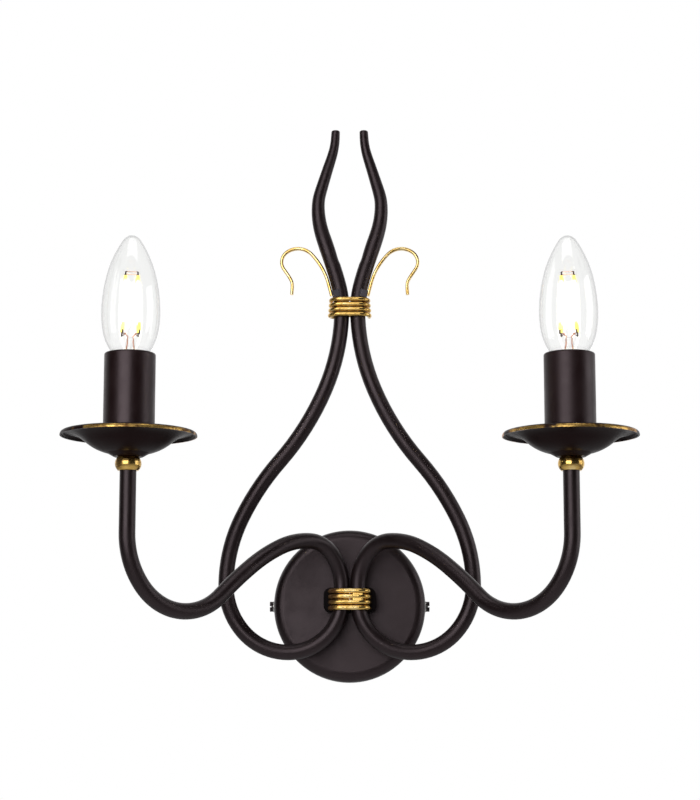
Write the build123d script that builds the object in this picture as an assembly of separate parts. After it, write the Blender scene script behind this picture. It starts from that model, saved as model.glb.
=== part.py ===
from build123d import *
import math
import os

# Double arm wall sconce, in millimetres.
# Origin: centre of the wall bracket's back, on the wall. +X right, -Y out of the wall, +Z up.
# Each side piece is made for the right-hand side and mirrored for the left.

# ---------------------------------------------------------------- driving sizes
# tubes and bars
bar_d = 9.8                  # outside of the scroll bar and of the arm tube
tube_bore = 7.6              # inside of the arm tube
scroll_standoff = 40.0       # wall to the centre of the scroll bars
waist_half = 5.1             # half the distance between the two bars at both waists

# scroll bar: stations (x, z, heading in degrees) in the plane of the scroll
low_waist_z = 2.8
loop_bottom_x = 38.6
loop_bottom_z = -30.2
pear_side_x = 78.0
pear_side_z = 12.2
shoulder_x = 44.5
shoulder_z = 90.7
shoulder_heading = 130.8
high_waist_z = 190.0
spear_foot_x = 10.8
spear_foot_z = 217.8
spear_foot_heading = 71.4
spear_bulge_x = 20.5
spear_bulge_z = 257.4
spear_neck_x = 17.9
spear_neck_z = 270.6
spear_neck_heading = 106.5
spear_tip_x = 9.1
spear_tip_z = 308.3
spear_taper_z = 236.0        # the bar starts to taper here
spear_tip_d = 5.4
spear_sections = 10
tip_round = 1.0

# arm: stations (distance from the waist, z, heading) in a plane turned out of the wall
candle_x = 129.9
candle_standoff = 140.0
arm_rise_z = 11.0            # the arm leaves the waist straight up to here
arm_top_r = 25.0
arm_top_z = 38.5
arm_slope_r = 69.1
arm_slope_z = 21.5
arm_slope_heading = -35.9
arm_low_r = 119.4
arm_low_z = -8.4
arm_up_z = 36.1              # from here the arm is upright
arm_end_z = 76.5

# bindings
coil_wire_d = 2.75
coil_pitch = 3.25
coil_turns = 4
coil_z = 190.0
coil_slack = 0.25            # each lower turn reaches this much further at both ends
coil_tail = 2.8              # straight ends, pointing to the wall
staple_wire_d = 3.1
staple_pitch = 3.5
staple_count = 4
solder_x = 5.0               # middle of the solder patch on the staples
solder_width = 6.8
solder_depth = 2.2
solder_height = 5.6
solder_rise = 1.4            # above the middle of the staples
solder_round = 0.8
binding_fit = 0.1            # wire to bar
binding_spread = 0.5         # the bars part a little above and below each waist

# boss
boss_width = 33.0
boss_height = 15.4
boss_corner = 4.5
boss_front = 37.0            # wall to the boss's front face
saddle_fit = 0.15
boss_slot_width = 16.4
boss_slot_height = 6.6
boss_slot_z = 6.2
boss_screw_x = 12.6
boss_screw_d = 3.0
boss_screw_depth = 7.0
boss_screw_head_d = 5.6
boss_screw_head_h = 2.0
screw_fit = 0.1

# backplate
plate_d = 97.0
plate_depth = 24.0
plate_wall = 1.2
plate_round = 6.5
side_screw_y = 9.0           # wall to the axis of the side screws
side_hole_d = 4.4
bush_lip = 0.8
bush_wall = 0.8
bush_fit = 0.1

# wall bracket
strap_thickness = 1.5
strap_width = 18.0
strap_gap = 1.1              # from an ear to the inside of the backplate's wall
ear_reach = 16.0
ear_width = 14.0
ear_thread_d = 4.0
slot_spacing = 60.0
slot_length = 12.0
slot_width = 5.0
cable_hole_d = 13.0
tongue_width = 26.0
tongue_bottom = 34.0
bracket_corner = 2.5
earth_screw_x = -18.0
earth_screw_d = 4.0
earth_head_d = 6.5
earth_head_h = 2.2
earth_hole_fit = 0.05

# side screws
side_screw_d = 3.8
side_screw_length = 9.5
side_head_d = 6.4
side_head_h = 2.2
side_slot_w = 1.0
side_slot_depth = 1.0
side_flutes = 16
side_flute_r = 0.28
washer_d = 7.0
washer_thickness = 0.6
washer_fit = 0.1
washer_gap = 0.1

# terminal block
block_width = 20.0
block_depth = 13.0
block_height = 17.0
block_top_z = -14.5
block_corner = 1.5
pole_half = 4.2              # middle of the block to each pole
pole_bore = 3.4              # the poles are square passages from side to side
clamp_screw_x = 5.0
clamp_screw_d = 3.4
clamp_recess = 1.2
block_screw_d = 2.8
block_head_d = 5.0
block_head_h = 1.6

# wires
wire_d = 2.2
wire_half = 1.3              # half the distance of the two wires in a tube
rear_wire_exit_z = 7.2
front_wire_exit_z = 5.2
tube_notch_width = 5.0
tube_notch_top = 9.4
wire_end_in_block = 4.0
wire_fit = 0.3               # wire to the tip of its clamp screw
front_wire_swing = (19.0, 13.0, -9.5)   # outermost points of the wires: x, from the wall, z
rear_wire_swing = (24.0, 7.0, -10.0)
wire_lead = 3.6              # straight run before the block
lug_thickness = 0.8
lug_rim = 1.9
lug_wall = 0.3
lug_barrel = 3.6
earth_loop_z = 18.5

# tendrils
tendril_width = 3.3          # across, along the wall's normal
tendril_thickness = 2.1
tendril_root_z = 199.0
tendril_root_turn = 4.0      # the tendril leaves the bar at this angle
tendril_fit = 0.05
tendril_rise_x = 18.1
tendril_rise_z = 216.8
tendril_rise_heading = 60.0
tendril_top_x = 33.5
tendril_top_z = 229.3
tendril_out_x = 44.0
tendril_out_z = 220.3
tendril_turn_x = 39.8
tendril_turn_z = 211.7
tendril_turn_heading = -124.5
tendril_hook_x = 37.05
tendril_hook_z = 204.8
tendril_end_x = 37.4
tendril_end_z = 199.0
tendril_end_heading = -84.0
tab_fit = 0.12
tab_length = 4.6
tab_width = 5.4
tab_thickness = 0.5          # at the middle of its hollow side
tab_below = 0.39             # share of the tab below the tendril's foot
tab_angle = 53.0             # about the bar, from its outer side towards its front

# ball collar
ball_d = 15.6
ball_height = 8.2
ball_flat_d = 12.0
ball_fit = 0.1

# drip pan
pan_wall = 1.2
pan_foot_rise = 2.2
pan_foot_r = 12.6
pan_foot_flat_r = 8.6
pan_bowl_r = 26.0
pan_bowl_z = 9.1             # underside, above the foot
pan_bowl_angle = 42.0
pan_lip_r = 40.3             # outside of the turned-down lip
pan_lip_round = 1.8
pan_lip_drop = 0.3           # straight part of the lip
pan_brim_z = 13.65           # underside, above the foot

# nipple and lock nut
nipple_d = 9.5
nipple_bore = 6.0
nipple_spigot = 10.0
nipple_fit = 0.1
nipple_length = 15.5         # above the tube's end
nut_flats = 14.0
nut_height = 3.0

# candle sleeve and lampholder
sleeve_d = 30.4
sleeve_wall = 1.4
sleeve_over_cap = 6.7
sleeve_round = 1.2
sleeve_gap = 0.35
holder_d = 25.8
holder_base_h = 7.2
holder_chamber_h = 16.0
holder_web_h = 5.0
holder_lip_drop = 1.5        # from the top of the bulb's cap
holder_chamber_d = 21.0
holder_round = 0.8
shell_bore = 14.4            # inside of the screw shell
shell_wall = 0.4
shell_fit = 0.05
contact_width = 4.0
tail_slot = 1.4
contact_thickness = 0.6
contact_tail_h = 7.0         # below the web
contact_rise = 2.4           # above the web
tail_fit = 0.15

# bulb
bulb_length = 98.0
bulb_neck_r = 7.0
bulb_neck_heading = 72.0
bulb_flare_r = 12.4
bulb_flare_rise = 9.2        # above the cap
bulb_flare_heading = 59.0
bulb_r = 17.5
bulb_belly_drop = 47.2       # below the tip
bulb_shoulder_r = 5.5
bulb_shoulder_drop = 3.3
bulb_shoulder_heading = 123.0
bulb_wall = 0.8
cap_d = 13.8
cap_wall = 0.3
cap_height = 15.4
insulator_height = 3.2
insulator_foot_d = 5.6
tip_d = 4.4
tip_height = 1.2
tip_rest_gap = 0.3
filament_d = 1.9
filament_length = 32.7
filament_foot_r = 6.9        # from the bulb's axis
filament_rise = 20.2         # above the cap
filament_count = 4
filament_turn = 35.0         # from +X to the first filament
filament_lean = 3.0          # inwards
pin_d = 0.9                  # metal ends of a filament
pin_length = 2.4
lead_d = 0.6
lead_root_r = 1.3            # from the axis to where a lead leaves the stem
lead_fork_r = 2.8            # from the axis to where it forks
lead_fork_rise = 1.0         # above the ends of the pins
stem_d = 7.6
stem_top_d = 4.4
stem_flare_h = 5.0           # the stem's foot flares out to the neck
stem_flange_h = 0.8
stem_fit = 0.1
stem_rise = 16.0             # above the cap

# ---------------------------------------------------------------- derived places
bar_r = bar_d / 2
bore_r = tube_bore / 2
plate_face_y = -plate_depth
scroll_y = -scroll_standoff
arm_run = Vector(candle_x - waist_half, scroll_standoff - candle_standoff, 0)
arm_reach = arm_run.length
arm_dir = arm_run.normalized()
arm_side = arm_dir.cross(Vector(0, 0, 1))
candle = Vector(candle_x, -candle_standoff, 0)
ball_z = arm_end_z
pan_foot_z = ball_z + ball_height / 2
pan_floor_z = pan_foot_z + pan_wall
nut_top_z = pan_floor_z + nut_height
nipple_top_z = arm_end_z + nipple_length
holder_bottom_z = nut_top_z
holder_web_z = holder_bottom_z + holder_base_h + holder_chamber_h
shell_foot_z = holder_web_z + holder_web_h
contact_tail_z = holder_web_z - contact_tail_h
contact_top_z = shell_foot_z + contact_rise
bulb_bottom_z = contact_top_z + tip_rest_gap
bulb_tip_z = bulb_bottom_z + bulb_length
cap_top_z = bulb_bottom_z + tip_height + insulator_height + cap_height
bulb_glass_foot_z = cap_top_z
stem_top_z = cap_top_z + stem_rise
filament_foot_z = cap_top_z + filament_rise
holder_top_z = cap_top_z - holder_lip_drop
sleeve_top_z = cap_top_z + sleeve_over_cap
strap_half = plate_d / 2 - plate_wall - strap_gap
UP = Vector(0, 0, 1)
OUT = Vector(0, 1, 0)


# ---------------------------------------------------------------- helpers
def arc_pair(start, start_dir, end, end_dir):
    """Two tangent arcs from one station to the next."""
    gap = end - start
    both = start_dir + end_dir
    bend = 2 * (1 - start_dir.dot(end_dir))
    if bend < 1e-9:
        reach = gap.dot(gap) / (4 * gap.dot(end_dir))
    else:
        along = gap.dot(both)
        reach = (math.sqrt(along * along + bend * gap.dot(gap)) - along) / bend
    first = start + start_dir * reach
    last = end - end_dir * reach
    middle = (first + last) * 0.5
    middle_dir = (last - first).normalized()
    return [
        Edge.make_tangent_arc(start, start_dir, middle),
        Edge.make_tangent_arc(middle, middle_dir, end),
    ]


def route(stations):
    """Edges through (point, direction) stations: straight where both directions allow it."""
    edges = []
    for (start, start_dir), (end, end_dir) in zip(stations[:-1], stations[1:]):
        chord = (end - start).normalized()
        if chord.dot(start_dir) > 0.9999999 and chord.dot(end_dir) > 0.9999999:
            edges.append(Edge.make_line(start, end))
        else:
            edges += arc_pair(start, start_dir, end, end_dir)
    return edges


def rod(stations, section):
    """Sweep a section, drawn on the XY plane, along the route through the stations."""
    start, start_dir = stations[0]
    across = Vector(0, 1, 0) if abs(start_dir.Y) < 0.9 else Vector(1, 0, 0)
    plane = Plane(origin=start, x_dir=across.cross(start_dir), z_dir=start_dir)
    return sweep(plane * section, path=Wire(route(stations)))


def in_scroll(x, z, heading):
    """Station in the plane of the scroll."""
    turn = math.radians(heading)
    return Vector(x, scroll_y, z), Vector(math.cos(turn), 0, math.sin(turn))


def in_arm(reach, z, heading, aside=0.0):
    """Station in the arm's plane, or beside it."""
    turn = math.radians(heading)
    point = Vector(waist_half, scroll_y, z) + arm_dir * reach + arm_side * aside
    return point, arm_dir * math.cos(turn) + UP * math.sin(turn)


def turned_back(stations):
    """The same route the other way."""
    return [(point, direction * -1) for point, direction in reversed(stations)]


def ring(outer_r, inner_r, low, high):
    """Upright ring about the candle's axis."""
    sketch = Circle(outer_r) - Circle(inner_r)
    return Pos(candle.X, candle.Y, low) * extrude(sketch, high - low)


def disc(radius, low, high):
    """Upright disc about the candle's axis."""
    return Pos(candle.X, candle.Y, low) * extrude(Circle(radius), high - low)


def turned(profile):
    """Revolve a profile drawn on XZ (x is the radius) about the candle's axis."""
    return Pos(candle.X, candle.Y, 0) * revolve(Plane.XZ * profile, Axis.Z)


def other_side(shape):
    """Mirror a right-hand piece to the left."""
    return mirror(shape, about=Plane.YZ)


pieces = {}


def keep(name, shape):
    """Store a piece under its node's name."""
    pieces[name] = shape


def keep_pair(name, shape):
    """Store a right-hand piece and its mirror."""
    keep(name + "_right", shape)
    keep(name + "_left", other_side(shape))


# ---------------------------------------------------------------- scroll bars
low_scroll_stations = [
    in_scroll(waist_half, low_waist_z, -90),
    in_scroll(loop_bottom_x, loop_bottom_z, 0),
    in_scroll(pear_side_x, pear_side_z, 90),
    in_scroll(shoulder_x, shoulder_z, shoulder_heading),
    in_scroll(waist_half, high_waist_z, 90),
    in_scroll(spear_foot_x, spear_foot_z, spear_foot_heading),
]
spear_stations = [
    in_scroll(spear_foot_x, spear_foot_z, spear_foot_heading),
    in_scroll(spear_bulge_x, spear_bulge_z, 90),
    in_scroll(spear_neck_x, spear_neck_z, spear_neck_heading),
    in_scroll(spear_tip_x, spear_tip_z, 90),
]


def make_spear():
    """Tapered end of the scroll bar."""
    line = Wire(route(spear_stations))
    sections = []
    for step in range(spear_sections + 1):
        share = step / spear_sections
        point = line @ share
        direction = line % share
        tapered = max(0.0, (point.Z - spear_taper_z) / (spear_tip_z - spear_taper_z))
        radius = bar_r + (spear_tip_d / 2 - bar_r) * tapered
        plane = Plane(origin=point, x_dir=Vector(0, 1, 0), z_dir=direction)
        sections.append(plane * Circle(radius))
    spear = loft(sections)
    tip_edge = spear.edges().sort_by(Axis.Z)[-1]
    return fillet(tip_edge, tip_round)


def make_scroll():
    """Bottom loop, pear side, waist and spear in one bar."""
    return rod(low_scroll_stations, Circle(bar_r)) + make_spear()


# ---------------------------------------------------------------- arm tubes
arm_stations = [
    in_arm(0, low_waist_z, 90),
    in_arm(0, arm_rise_z, 90),
    in_arm(arm_top_r, arm_top_z, 0),
    in_arm(arm_slope_r, arm_slope_z, arm_slope_heading),
    in_arm(arm_low_r, arm_low_z, 0),
    in_arm(arm_reach, arm_up_z, 90),
    in_arm(arm_reach, arm_end_z, 90),
]


def make_arm():
    """Arm tube, with a notch at the back of its foot where the wires come in."""
    tube = rod(arm_stations, Circle(bar_r) - Circle(bore_r))
    notch = Pos(waist_half, scroll_y + bar_r, (low_waist_z + tube_notch_top) / 2) * Box(
        tube_notch_width, bar_d, tube_notch_top - low_waist_z
    )
    return tube - notch


# ---------------------------------------------------------------- bindings
def coil_stations(turns, pitch, half, bend_r, middle_z):
    """Stations of a wire wound round both bars: level at the front, climbing at the back."""
    quarter = math.pi * bend_r / 2
    left = Vector(-1, 0, 0)
    stations = []
    for turn in range(turns):
        z = middle_z + (turn - (turns - 1) / 2) * pitch
        reach = half + (turns - 1 - turn) * coil_slack
        right_end = Vector(reach + bend_r, scroll_y, z)
        left_end = Vector(-reach - bend_r, scroll_y, z)
        if turn == 0:
            stations.append((right_end + OUT * coil_tail, OUT * -1))
        stations.append((right_end, OUT * -1))
        stations.append((Vector(reach, scroll_y - bend_r, z), left))
        stations.append((Vector(-reach, scroll_y - bend_r, z), left))
        stations.append((left_end, OUT))
        if turn == turns - 1:
            stations.append((left_end + OUT * coil_tail, OUT))
            continue
        slope = pitch / (quarter + 2 * reach - coil_slack)
        climb = Vector(1, 0, slope).normalized()
        rise = quarter * slope / 2
        stations.append((Vector(-reach, scroll_y + bend_r, z + rise), climb))
        stations.append((Vector(reach - coil_slack, scroll_y + bend_r, z + pitch - rise), climb))
    return stations


def least_gap(stations, diameter, samples=12):
    """Least clear distance between the turns of a wound wire, on points of its route."""
    points = []
    length = 0.0
    for edge in route(stations):
        for step in range(samples):
            points.append((length + edge.length * step / samples, edge @ (step / samples)))
        length += edge.length
    gap = math.inf
    for index, (run, point) in enumerate(points):
        for other_run, other in points[index + 1:]:
            if other_run - run > 6 * diameter:
                gap = min(gap, (other - point).length - diameter)
    return gap


upper_coil = coil_stations(
    coil_turns,
    coil_pitch,
    waist_half + binding_spread,
    bar_r + binding_fit + coil_wire_d / 2,
    coil_z,
)


def make_staples():
    """Level wire staples over the fronts of both tubes, their legs on the boss."""
    half = waist_half + binding_spread
    bend_r = bar_r + binding_fit + staple_wire_d / 2
    group = []
    for index in range(staple_count):
        z = low_waist_z + (index - (staple_count - 1) / 2) * staple_pitch
        stations = [
            (Vector(-half - bend_r, -boss_front, z), OUT * -1),
            (Vector(-half - bend_r, scroll_y, z), OUT * -1),
            (Vector(-half, scroll_y - bend_r, z), Vector(1, 0, 0)),
            (Vector(half, scroll_y - bend_r, z), Vector(1, 0, 0)),
            (Vector(half + bend_r, scroll_y, z), OUT),
            (Vector(half + bend_r, -boss_front, z), OUT),
        ]
        group.append(rod(stations, Circle(staple_wire_d / 2)))
    patch = Pos(solder_x, scroll_y - bend_r, low_waist_z + solder_rise) * Box(
        solder_width, solder_depth, solder_height
    )
    band = fillet(patch.edges(), solder_round)
    for staple in group:
        band += staple
    return band


# ---------------------------------------------------------------- boss and its screws
def make_boss():
    """Pill-shaped block between the backplate and the tubes."""
    face = Plane(origin=(0, -plate_depth, low_waist_z), x_dir=(1, 0, 0), z_dir=(0, -1, 0))
    outline = RectangleRounded(boss_width, boss_height, boss_corner)
    block = extrude(face * outline, boss_front - plate_depth)
    saddle_section = Circle(bar_r + saddle_fit)
    foot = [in_scroll(waist_half, low_waist_z, 90), in_scroll(waist_half, low_waist_z + boss_height, 90)]
    for cutter in (rod(low_scroll_stations[:2], saddle_section), rod(foot, saddle_section)):
        block -= cutter
        block -= other_side(cutter)
    slot = Pos(0, -(plate_depth + boss_front) / 2, boss_slot_z) * Box(
        boss_slot_width, boss_front, boss_slot_height
    )
    block -= slot
    for side in (-1, 1):
        hole = Plane(
            origin=(side * boss_screw_x, -plate_depth, low_waist_z), x_dir=(1, 0, 0), z_dir=(0, -1, 0)
        ) * Circle(boss_screw_d / 2 + screw_fit)
        block -= extrude(hole, boss_screw_depth + screw_fit)
    return block


def make_boss_screws():
    """Two screws from inside the backplate; the earth lug lies under the left-hand one."""
    group = []
    for side, lift in ((-1, lug_thickness), (1, 0.0)):
        seat = Plane(
            origin=(side * boss_screw_x, -plate_depth + plate_wall + lift, low_waist_z),
            x_dir=(1, 0, 0),
            z_dir=(0, -1, 0),
        )
        shank = extrude(seat * Circle(boss_screw_d / 2), boss_screw_depth + plate_wall + lift)
        head = extrude(seat * Circle(boss_screw_head_d / 2), -boss_screw_head_h)
        group.append(shank + head)
    return Compound(children=group)


# ---------------------------------------------------------------- backplate
def make_backplate():
    """Pressed cup with a rounded edge, open to the wall."""
    wall_plane = Plane(origin=(0, 0, 0), x_dir=(1, 0, 0), z_dir=(0, -1, 0))
    cup = extrude(wall_plane * Circle(plate_d / 2), plate_depth)
    cup = fillet(cup.edges().sort_by(Axis.Y)[0], plate_round)
    inner = extrude(wall_plane * Circle(plate_d / 2 - plate_wall), plate_depth - plate_wall)
    inner = fillet(inner.edges().sort_by(Axis.Y)[0], plate_round - plate_wall)
    cup -= inner
    opening = Pos(0, -plate_depth, boss_slot_z) * Box(
        boss_slot_width, 4 * plate_wall, boss_slot_height
    )
    cup -= opening
    for side in (-1, 1):
        screw_hole = Plane(
            origin=(side * boss_screw_x, 0, low_waist_z), x_dir=(1, 0, 0), z_dir=(0, -1, 0)
        ) * Circle(boss_screw_d / 2 + screw_fit)
        cup -= extrude(screw_hole, 2 * plate_depth)
    side_hole = Plane(origin=(-plate_d, -side_screw_y, 0), z_dir=(1, 0, 0)) * Circle(side_hole_d / 2)
    cup -= extrude(side_hole, 2 * plate_d)
    return cup


def make_wire_bush():
    """Insulating bush that lines the opening of the backplate and of the boss."""
    back = -plate_depth + plate_wall
    plane = Plane(origin=(0, back, boss_slot_z), x_dir=(1, 0, 0), z_dir=(0, -1, 0))
    width = boss_slot_width - 2 * bush_fit
    height = boss_slot_height - 2 * bush_fit
    bush = extrude(plane * Rectangle(width, height), 2.5 * plate_wall)
    bush += extrude(plane * Rectangle(width + 2 * bush_lip, height + 2 * bush_lip), -bush_lip)
    channel = plane.offset(-2 * bush_lip) * Rectangle(width - 2 * bush_wall, height - 2 * bush_wall)
    return bush - extrude(channel, 2 * bush_lip + 4 * plate_wall)


# ---------------------------------------------------------------- wall bracket
def make_bracket():
    """Strap with two wall slots, a tongue for the terminal block and two threaded ears."""
    wall_plane = Plane(origin=(0, 0, 0), x_dir=(1, 0, 0), z_dir=(0, -1, 0))
    outline = Rectangle(2 * strap_half, strap_width)
    tongue = Rectangle(tongue_width, tongue_bottom, align=(Align.CENTER, Align.MAX))
    outline += tongue
    tongue_corners = outline.vertices().sort_by(Axis.Y)[:2]
    outline = fillet(tongue_corners, bracket_corner)
    for side in (-1, 1):
        outline -= Pos(side * slot_spacing / 2, 0) * SlotOverall(slot_length, slot_width)
    outline -= Circle(cable_hole_d / 2)
    outline -= Pos(earth_screw_x, 0) * Circle(earth_screw_d / 2 + earth_hole_fit)
    outline -= Pos(0, block_top_z - block_height / 2) * Circle(block_screw_d / 2 + earth_hole_fit)
    strap = extrude(wall_plane * outline, strap_thickness)
    for side in (-1, 1):
        ear = Pos(side * (strap_half - strap_thickness / 2), -ear_reach / 2, 0) * Box(
            strap_thickness, ear_reach, ear_width
        )
        ear = fillet(ear.edges().filter_by(Axis.X).group_by(Axis.Y)[0], bracket_corner)
        strap += ear
    thread = Plane(origin=(-plate_d, -side_screw_y, 0), z_dir=(1, 0, 0)) * Circle(ear_thread_d / 2)
    return strap - extrude(thread, 2 * plate_d)


def make_earth_screw():
    """Earth screw through the strap, slotted head towards the room."""
    lift = strap_thickness + lug_thickness
    seat = Plane(origin=(earth_screw_x, -lift, 0), x_dir=(1, 0, 0), z_dir=(0, -1, 0))
    head = extrude(seat * Circle(earth_head_d / 2), earth_head_h)
    head -= extrude(seat.offset(earth_head_h) * Rectangle(earth_head_d, side_slot_w), -side_slot_depth)
    shank = extrude(seat * Circle(earth_screw_d / 2), -lift)
    return head + shank


def lug(x, seat_y, z, hole_r, side):
    """Ring terminal on the wall's side (1) or the room's side (-1) of a face, barrel upwards."""
    rim = hole_r + lug_rim
    seat = Plane(origin=(x, seat_y, z), x_dir=(side, 0, 0), z_dir=(0, side, 0))
    ring_part = extrude(seat * (Circle(rim) - Circle(hole_r)), lug_thickness)
    barrel_r = wire_d / 2 + lug_wall
    barrel_y = seat_y + side * (barrel_r + screw_fit / 2)
    barrel = Pos(x, barrel_y, z + rim - lug_wall) * extrude(Circle(barrel_r), lug_barrel)
    end = Vector(x, barrel_y, z + rim - lug_wall + lug_barrel)
    return ring_part + barrel, end


def make_earth_wire():
    """Earth lead from the backplate to the bracket, with a ring terminal at each end."""
    plate_lug, high_end = lug(
        -boss_screw_x, -plate_depth + plate_wall, low_waist_z, boss_screw_d / 2 + screw_fit, 1
    )
    strap_lug, low_end = lug(earth_screw_x, -strap_thickness, 0, earth_screw_d / 2 + earth_hole_fit, -1)
    across = Vector(low_end.X - high_end.X, low_end.Y - high_end.Y, 0)
    top = Vector((low_end.X + high_end.X) / 2, (low_end.Y + high_end.Y) / 2, earth_loop_z)
    stations = [(high_end, UP), (top, across.normalized()), (low_end, UP * -1)]
    return plate_lug + strap_lug + rod(stations, Circle(wire_d / 2))


def make_side_screw():
    """Fluted, slotted side screw of the right-hand side."""
    seat_x = plate_d / 2 + washer_gap + washer_thickness
    seat = Plane(origin=(seat_x, -side_screw_y, 0), x_dir=(0, 1, 0), z_dir=(1, 0, 0))
    head = extrude(seat * Circle(side_head_d / 2), side_head_h)
    for index in range(side_flutes):
        place = Rot(0, 0, 360 * index / side_flutes) * Pos(side_head_d / 2, 0)
        head -= extrude(seat * (place * Circle(side_flute_r)), side_head_h)
    head -= extrude(seat.offset(side_head_h) * Rectangle(side_head_d, side_slot_w), -side_slot_depth)
    shank = extrude(seat * Circle(side_screw_d / 2), -side_screw_length)
    return head + shank


def make_side_washer():
    """Thin washer that travels with the side screw."""
    seat = Plane(
        origin=(plate_d / 2 + washer_gap, -side_screw_y, 0), x_dir=(0, 1, 0), z_dir=(1, 0, 0)
    )
    return extrude(seat * (Circle(washer_d / 2) - Circle(side_screw_d / 2 + washer_fit)), washer_thickness)


# ---------------------------------------------------------------- terminal block
block_back_y = -strap_thickness
block_front_y = block_back_y - block_depth
block_mid_y = block_back_y - block_depth / 2
block_mid_z = block_top_z - block_height / 2
clamp_tip_y = block_mid_y - wire_d / 2 - wire_fit


def facing_out(x, y, z):
    """Plane that looks into the wall from a point."""
    return Plane(origin=(x, y, z), x_dir=(1, 0, 0), z_dir=(0, 1, 0))


def clamp_places():
    """Middle of each clamp screw's well on the block's front."""
    return [(x, block_mid_z + z) for x in (-clamp_screw_x, clamp_screw_x) for z in (-pole_half, pole_half)]


def make_block():
    """Two-pole terminal block on the bracket's tongue, one pole above the other."""
    block = Pos(0, block_mid_y, block_mid_z) * Box(block_width, block_depth, block_height)
    block = fillet(block.edges().filter_by(Axis.Y), block_corner)
    for side in (-1, 1):
        block -= Pos(0, block_mid_y, block_mid_z + side * pole_half) * Box(
            2 * block_width, pole_bore, pole_bore
        )
    for x, z in clamp_places():
        well = facing_out(x, block_front_y, z) * Circle(clamp_screw_d / 2 + screw_fit)
        block -= extrude(well, clamp_tip_y - block_front_y)
    hole = facing_out(0, block_front_y, block_mid_z) * Circle(block_screw_d / 2 + screw_fit)
    return block - extrude(hole, block_depth)


def make_clamp_screws():
    """Slotted clamp screws in the wells of the terminal block."""
    group = []
    for x, z in clamp_places():
        top = facing_out(x, block_front_y + clamp_recess, z)
        screw = extrude(top * Circle(clamp_screw_d / 2), clamp_tip_y - block_front_y - clamp_recess)
        screw -= extrude(top * Rectangle(clamp_screw_d, side_slot_w), side_slot_depth)
        group.append(screw)
    return Compound(children=group)


def make_block_screw():
    """Screw that holds the terminal block to the bracket."""
    seat = facing_out(0, block_front_y, block_mid_z)
    shank = extrude(seat * Circle(block_screw_d / 2), block_depth + strap_thickness)
    head = extrude(seat * Circle(block_head_d / 2), -block_head_h)
    head -= extrude(seat.offset(-block_head_h) * Rectangle(block_head_d, side_slot_w), side_slot_depth)
    return shank + head


# ---------------------------------------------------------------- wires
wire_top = nipple_top_z + wire_d / 2
shell_mid_r = shell_bore / 2 + shell_wall / 2


def arm_wire(aside, exit_z, swing, pole, top_stations):
    """One insulated wire from the lampholder, down the arm tube, to the terminal block."""
    inside = [
        in_arm(arm_reach, arm_up_z, 90, aside),
        in_arm(arm_low_r, arm_low_z, 0, aside),
        in_arm(arm_slope_r, arm_slope_z, arm_slope_heading, aside),
        in_arm(arm_top_r, arm_top_z, 0, aside),
        in_arm(0, arm_rise_z, 90, aside),
    ]
    inside = [(point, direction * -1) for point, direction in inside]
    tube_x = inside[-1][0].X
    swing_x, swing_out, swing_z = swing
    pole_z = block_mid_z + pole * pole_half
    entry_x = block_width / 2
    outside = [
        (Vector(tube_x, scroll_y + bar_r + screw_fit, exit_z), OUT),
        (Vector(tube_x, -plate_depth + plate_wall + bush_lip, exit_z), OUT),
        (Vector(swing_x, -swing_out, swing_z), UP * -1),
        (Vector(entry_x + wire_lead, block_mid_y, pole_z), Vector(-1, 0, 0)),
        (Vector(entry_x - wire_end_in_block, block_mid_y, pole_z), Vector(-1, 0, 0)),
    ]
    return rod(top_stations + inside + outside, Circle(wire_d / 2))


def make_live_wire():
    """Front wire of the arm: ends under the tail of the centre contact."""
    top = [(candle + UP * contact_tail_z + arm_side * wire_half, UP * -1)]
    return arm_wire(wire_half, front_wire_exit_z, front_wire_swing, 1, top)


def make_neutral_wire():
    """Rear wire of the arm: swings out to the tail of the screw shell."""
    top = [
        (candle + UP * contact_tail_z - arm_side * shell_mid_r, UP * -1),
        (candle + UP * wire_top - arm_side * wire_half, UP * -1),
    ]
    return arm_wire(-wire_half, rear_wire_exit_z, rear_wire_swing, -1, top)


# ---------------------------------------------------------------- tendrils
def bar_at(z):
    """Middle of the bar and its direction at a height between the upper waist and the spear."""
    for edge in route(low_scroll_stations[4:]):
        if (edge @ 0).Z <= z <= (edge @ 1).Z:
            low = 0.0
            high = 1.0
            for _ in range(40):
                middle = (low + high) / 2
                if (edge @ middle).Z < z:
                    low = middle
                else:
                    high = middle
            return edge @ low, edge % low
    raise ValueError("no bar at this height")


def tendril_root():
    """Station of the tendril's foot on the outer side of the bar."""
    point, direction = bar_at(tendril_root_z)
    outward = OUT.cross(direction)
    start = point + outward * (bar_r + tendril_thickness / 2 + tendril_fit)
    return start, direction.rotate(Axis.Y, tendril_root_turn)


tendril_stations = [
    tendril_root(),
    in_scroll(tendril_rise_x, tendril_rise_z, tendril_rise_heading),
    in_scroll(tendril_top_x, tendril_top_z, 0),
    in_scroll(tendril_out_x, tendril_out_z, -90),
    in_scroll(tendril_turn_x, tendril_turn_z, tendril_turn_heading),
    in_scroll(tendril_hook_x, tendril_hook_z, -90),
    in_scroll(tendril_end_x, tendril_end_z, tendril_end_heading),
]


def make_tendril():
    """Flattened wire, curled outwards."""
    section = RectangleRounded(tendril_thickness, tendril_width, tendril_thickness * 0.45)
    return rod(tendril_stations, section)


def make_root_tab():
    """Flat tab with a hollow back, on the bar in front of the tendril's foot."""
    point, direction = bar_at(tendril_root_z)
    plane = Plane(origin=point, x_dir=OUT.cross(direction), z_dir=direction)
    inner = bar_r + tab_fit
    outer = inner + tab_thickness
    edge = math.sqrt(inner ** 2 - (tab_width / 2) ** 2)
    strip = Pos((outer + edge) / 2, 0) * Rectangle(outer - edge, tab_width)
    section = Rot(0, 0, -tab_angle) * (strip - Circle(inner))
    return extrude(plane.offset(-tab_length * tab_below) * section, tab_length)


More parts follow.
